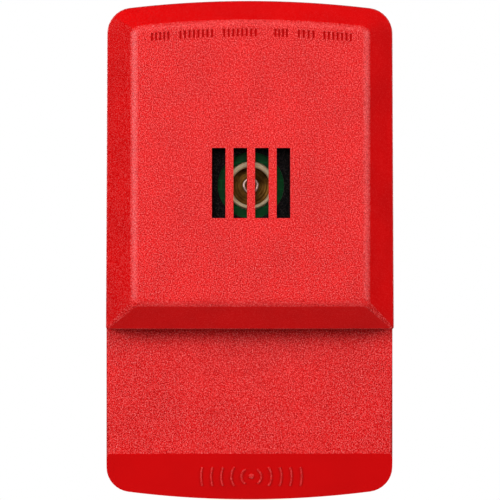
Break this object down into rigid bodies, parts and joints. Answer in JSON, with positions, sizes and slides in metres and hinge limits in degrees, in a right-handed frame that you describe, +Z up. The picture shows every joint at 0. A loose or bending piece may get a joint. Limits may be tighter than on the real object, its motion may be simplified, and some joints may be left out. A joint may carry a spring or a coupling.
{
  "type": "fire alarm horn",
  "caption": "Wall-mounted alarm horn: a red moulded head with vertical grille slots, hinged on a wired mounting plate.",
  "frame": {"origin": "on the wall plane, behind the middle of the body's height and width", "axes": "+X to the right seen from the front, +Y into the wall, +Z up"},
  "size_m": [0.1142, 0.052, 0.1982],
  "materials": {
    "red_abs": "fine moulded grain",
    "red_plate": "satin moulding",
    "black_plastic": "fine moulded grain",
    "black_epoxy": "matt moulded epoxy",
    "foam": "closed-cell foam",
    "green_board": "solder-masked glass epoxy",
    "tan_nylon": "natural nylon",
    "brass": "rolled",
    "bright_metal": "bright plated",
    "ceramic": "silvered ceramic",
    "red_wire": "wire insulation",
    "black_wire": "wire insulation",
    "ferrite": "sintered ferrite",
    "copper_wire": "enamelled copper wire",
    "capacitor_sleeve": "shrunk sleeve",
    "grey_plastic": "moulded",
    "white_plastic": "moulded",
    "zinc_steel": "bright zinc plated"
  },
  "bodies": {
    "plate": {"mounting_plate": "red_plate", "terminal_block": "black_plastic", "terminal_strip_1": "brass", "terminal_strip_2": "brass", "terminal_strip_3": "brass", "terminal_strip_4": "brass"},
    "head": {"front_cover": "red_abs", "baffle_gasket": "foam", "sound_baffle": "black_plastic", "circuit_board": "green_board", "port_ring": "tan_nylon", "sounder_diaphragm": "brass", "centre_eyelet": "bright_metal", "piezo_ceramic": "ceramic", "sounder_cup": "black_plastic", "sounder_lead_red": "red_wire", "sounder_lead_black": "black_wire", "rear_chassis": "black_plastic", "coil_core": "ferrite", "coil_winding": "copper_wire", "capacitor_large": "capacitor_sleeve", "capacitor_small": "capacitor_sleeve", "driver_chip": "black_epoxy", "transistor": "black_epoxy", "tone_switch_body": "grey_plastic", "volume_switch_body": "grey_plastic", "lock_nut": "zinc_steel", "chassis_screw_1": "zinc_steel", "chassis_screw_2": "zinc_steel", "chassis_screw_3": "zinc_steel", "chassis_screw_4": "zinc_steel", "board_screw_1": "zinc_steel", "board_screw_2": "zinc_steel", "board_screw_3": "zinc_steel", "board_screw_4": "zinc_steel", "contact_pin_1": "brass", "contact_pin_2": "brass", "contact_pin_3": "brass", "contact_pin_4": "brass"},
    "lock_screw_body": {"lock_screw": "zinc_steel"},
    "tone_slider": {"tone_knob": "white_plastic"},
    "volume_slider": {"volume_knob": "white_plastic"},
    "terminal_1": {"terminal_screw_1": "zinc_steel", "clamp_plate_1": "zinc_steel"},
    "terminal_2": {"terminal_screw_2": "zinc_steel", "clamp_plate_2": "zinc_steel"},
    "terminal_3": {"terminal_screw_3": "zinc_steel", "clamp_plate_3": "zinc_steel"},
    "terminal_4": {"terminal_screw_4": "zinc_steel", "clamp_plate_4": "zinc_steel"}
  },
  "joints": [
    {"name": "head_swing", "type": "hinge", "parent": "plate", "child": "head", "pos_m": [0, -0.0045, 0.094], "axis": [-1, 0, 0], "range_deg": [0, 30]},
    {"name": "lock_screw_travel", "type": "slide", "parent": "head", "child": "lock_screw_body", "axis": [0, 0, -1], "range_m": [0, 0.0045]},
    {"name": "tone_slide", "type": "slide", "parent": "head", "child": "tone_slider", "axis": [1, 0, 0], "range_m": [-0.0018, 0.0018]},
    {"name": "volume_slide", "type": "slide", "parent": "head", "child": "volume_slider", "axis": [1, 0, 0], "range_m": [-0.0018, 0.0018]},
    {"name": "terminal_screw_1_travel", "type": "slide", "parent": "plate", "child": "terminal_1", "axis": [0, -1, 0], "range_m": [0, 0.0018]},
    {"name": "terminal_screw_2_travel", "type": "slide", "parent": "plate", "child": "terminal_2", "axis": [0, -1, 0], "range_m": [0, 0.0018]},
    {"name": "terminal_screw_3_travel", "type": "slide", "parent": "plate", "child": "terminal_3", "axis": [0, -1, 0], "range_m": [0, 0.0018]},
    {"name": "terminal_screw_4_travel", "type": "slide", "parent": "plate", "child": "terminal_4", "axis": [0, -1, 0], "range_m": [0, 0.0018]}
  ]
}
